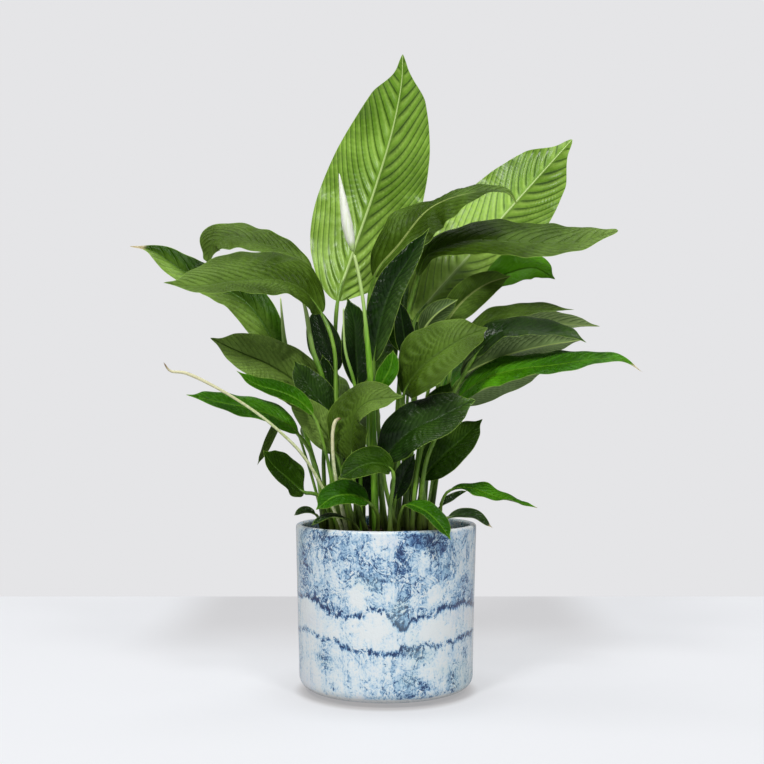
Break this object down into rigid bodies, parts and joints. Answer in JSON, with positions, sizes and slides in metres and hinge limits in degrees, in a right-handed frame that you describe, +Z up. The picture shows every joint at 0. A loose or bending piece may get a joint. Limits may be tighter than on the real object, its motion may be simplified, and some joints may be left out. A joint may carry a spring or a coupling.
{
  "type": "potted peace lily",
  "caption": "Peace lily houseplant with broad pointed leaves on long stalks and a closed white flower, growing in a straight round glazed cover pot.",
  "frame": {"origin": "centre of the pot's flat foot, on the surface that the pot stands on", "axes": "+Z up along the pot's axis; -Y is the plant's front, with +X to its right seen from there"},
  "size_m": [0.5104, 0.2886, 0.6371],
  "materials": {
    "pot_glaze": "gloss",
    "potting_mix": "matte",
    "leaf": "satin",
    "stalk": "satin",
    "spathe": "satin",
    "withered": "matte"
  },
  "bodies": {
    "root": {"pot": "pot_glaze", "soil": "potting_mix", "leaf_tall_left": "leaf", "leaf_tall_right": "leaf", "leaf_arch_high": "leaf", "leaf_arch_left": "leaf", "leaf_arch_right": "leaf", "leaf_dark_upright": "leaf", "leaf_twisted": "leaf", "leaf_far_left": "leaf", "leaf_dark_centre": "leaf", "leaf_dark_left": "leaf", "leaf_spike": "leaf", "leaf_inner_dark": "leaf", "leaf_inner_bright": "leaf", "leaf_inner_right": "leaf", "leaf_inner_low": "leaf", "leaf_inner_pale": "leaf", "leaf_mid_left": "leaf", "leaf_mid_dark": "leaf", "leaf_low_bright": "leaf", "leaf_mid_olive": "leaf", "leaf_pointed": "leaf", "leaf_hanging": "leaf", "leaf_low_dark": "leaf", "leaf_rim_left": "leaf", "leaf_rim_front_left": "leaf", "leaf_front_low": "leaf", "leaf_front_curled": "leaf", "leaf_front_cup": "leaf", "leaf_front_right": "leaf", "leaf_broad_centre": "leaf", "leaf_narrow_dark": "leaf", "leaf_right_small": "leaf", "leaf_right_olive": "leaf", "leaf_right_top": "leaf", "leaf_right_pale": "leaf", "leaf_right_dark": "leaf", "leaf_right_grey": "leaf", "leaf_right_long": "leaf", "leaf_right_under": "leaf", "leaf_right_broad_low": "leaf", "leaf_low_right": "leaf", "leaf_low_thin": "leaf", "leaf_rim_right": "leaf", "leaf_rim_front_right": "leaf", "leaf_back_middle": "leaf", "leaf_back_left": "leaf", "leaf_back_right": "leaf", "leaf_back_tall": "leaf", "leaf_back_low_middle": "leaf", "leaf_back_low_right": "leaf", "leaf_back_low_left": "leaf", "flower_stalk": "stalk", "flower_spathe": "spathe", "bud_far_left": "stalk", "bud_left": "stalk", "bud_centre": "stalk", "spent_flower": "withered", "spent_stalk": "withered"}
  },
  "joints": []
}
